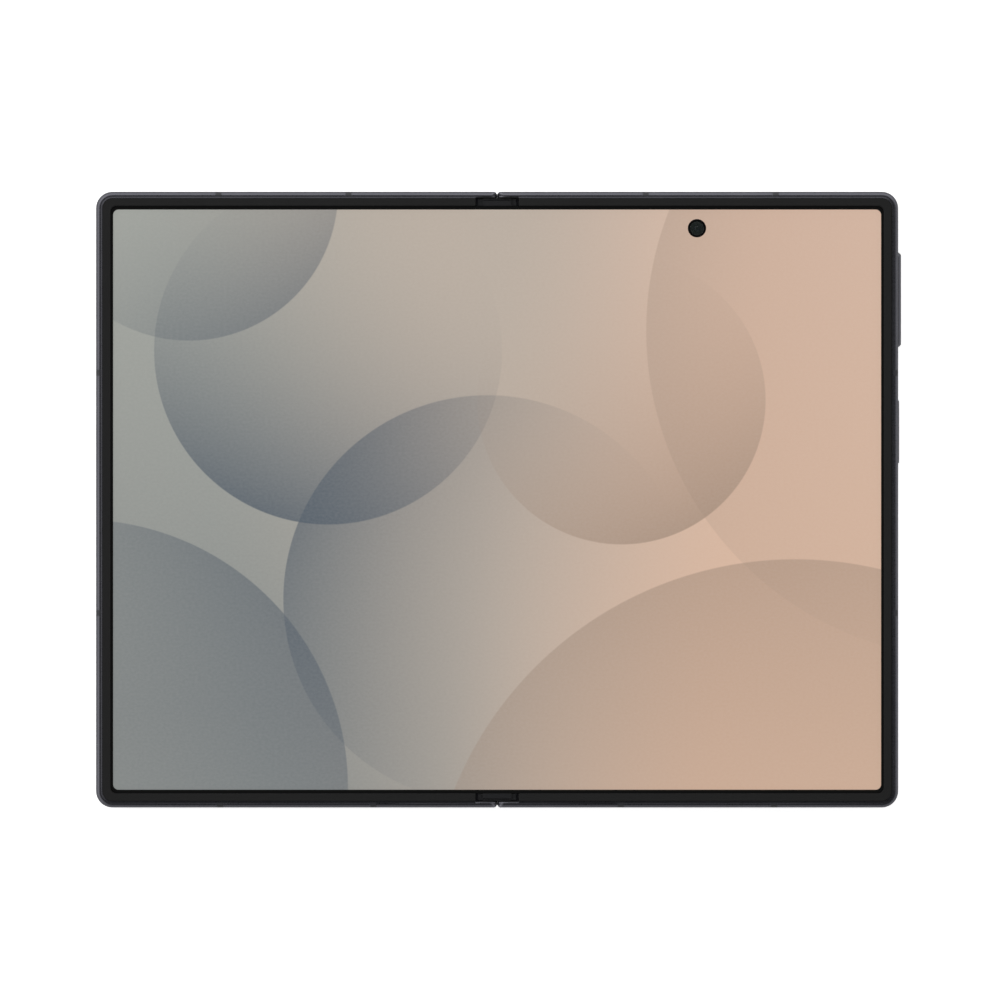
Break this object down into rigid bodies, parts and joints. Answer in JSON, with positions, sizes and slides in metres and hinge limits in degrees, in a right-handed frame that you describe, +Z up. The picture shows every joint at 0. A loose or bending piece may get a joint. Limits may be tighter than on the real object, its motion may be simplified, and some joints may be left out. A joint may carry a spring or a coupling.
{
  "type": "foldable smartphone",
  "caption": "Book-style foldable smartphone opened flat: two slim halves on a two-axis hinge spine, wide inner display, side keys, camera island, charging port and card tray.",
  "frame": {"origin": "centre of the opened phone, in the plane of the rear camera rims that it rests on", "axes": "+X across the fold towards the half with the keys, +Y along the fold towards the inner camera's end, +Z up out of the inner display"},
  "size_m": [0.162, 0.1238, 0.0061],
  "materials": {
    "frame_metal": "anodised graphite, satin",
    "band_plastic": "matte",
    "rim_plastic": "matte, near black",
    "back_glass": "satin etched back, opaque",
    "cover_glass": "gloss, black behind",
    "island_metal": "anodised graphite, satin",
    "lens_glass": "gloss, dark",
    "camera_black": "matte black",
    "flash_lens": "milky diffuser",
    "display_panel": "gloss display laminate showing a soft picture",
    "fold_display": "gloss display laminate, flexible",
    "steel_plate": "satin sheet",
    "hinge_steel": "satin",
    "screw_steel": "satin",
    "circuit_board": "solder mask",
    "shield_tin": "tin plated",
    "battery_pouch": "matt black pouch",
    "coil_copper": "lacquered copper",
    "port_steel": "satin",
    "speaker_black": "matte black",
    "magnet": "nickel plated",
    "key_metal": "anodised graphite, satin",
    "switch_brass": "bright",
    "flex_film": "amber film",
    "spine_metal": "anodised graphite, satin",
    "cap_plastic": "matte black",
    "cover_screen": "display laminate, off",
    "card_plastic": "matte"
  },
  "bodies": {
    "spine": {"spine_shell": "spine_metal", "spine_end_caps": "cap_plastic", "hinge_brackets": "hinge_steel", "bracket_screws": "screw_steel", "spine_plate": "steel_plate", "fold_lattice": "steel_plate", "fold_panel": "fold_display", "hinge_cables": "flex_film"},
    "main_half": {"main_frame": "frame_metal", "main_antenna_bands": "band_plastic", "main_display_rim": "rim_plastic", "main_back_glass": "back_glass", "camera_island": "island_metal", "camera_lens_glasses": "lens_glass", "camera_upper": "camera_black", "camera_middle": "camera_black", "camera_lower": "camera_black", "flash_window": "flash_lens", "inner_camera": "camera_black", "main_display_panel": "display_panel", "main_support_plate": "steel_plate", "main_hinge_arms": "hinge_steel", "main_arm_screws": "screw_steel", "main_board": "circuit_board", "board_screws": "screw_steel", "processor_shield": "shield_tin", "radio_shield": "shield_tin", "main_battery": "battery_pouch", "charging_coil": "coil_copper", "charging_port": "port_steel", "port_board": "circuit_board", "loudspeaker": "speaker_black", "vibration_motor": "shield_tin", "main_magnets": "magnet", "volume_switches": "switch_brass", "power_switch": "switch_brass", "main_cable": "flex_film"},
    "cover_half": {"cover_frame": "frame_metal", "cover_antenna_bands": "band_plastic", "cover_display_rim": "rim_plastic", "cover_glass": "cover_glass", "cover_screen_panel": "cover_screen", "cover_camera": "camera_black", "left_display_panel": "display_panel", "left_support_plate": "steel_plate", "cover_hinge_arms": "hinge_steel", "cover_arm_screws": "screw_steel", "cover_board": "circuit_board", "cover_battery": "battery_pouch", "earpiece": "speaker_black", "cover_magnets": "magnet", "card_reader": "port_steel"},
    "volume_key": {"volume_key": "key_metal"},
    "power_key": {"power_key": "key_metal"},
    "card_tray": {"card_tray": "key_metal", "sim_card": "card_plastic"}
  },
  "joints": [
    {"name": "main_fold", "type": "hinge", "parent": "spine", "child": "main_half", "pos_m": [0.00136, 0, 0.00479], "axis": [0, -1, 0], "range_deg": [0, 90], "deforming": ["fold_panel", "fold_lattice", "hinge_cables"]},
    {"name": "cover_fold", "type": "hinge", "parent": "spine", "child": "cover_half", "pos_m": [-0.00136, 0, 0.00479], "axis": [0, 1, 0], "range_deg": [0, 90]},
    {"name": "volume_press", "type": "slide", "parent": "main_half", "child": "volume_key", "axis": [-1, 0, 0], "range_m": [0, 0.00022], "stiffness_N_per_m": 3000, "springref_m": -0.0002},
    {"name": "power_press", "type": "slide", "parent": "main_half", "child": "power_key", "axis": [-1, 0, 0], "range_m": [0, 0.00022], "stiffness_N_per_m": 3000, "springref_m": -0.0002},
    {"name": "tray_slide", "type": "slide", "parent": "cover_half", "child": "card_tray", "axis": [-1, 0, 0], "range_m": [0, 0.0165]}
  ],
  "couplings": [
    {"joint": "cover_fold", "follows": "main_fold", "ratio": 1}
  ]
}
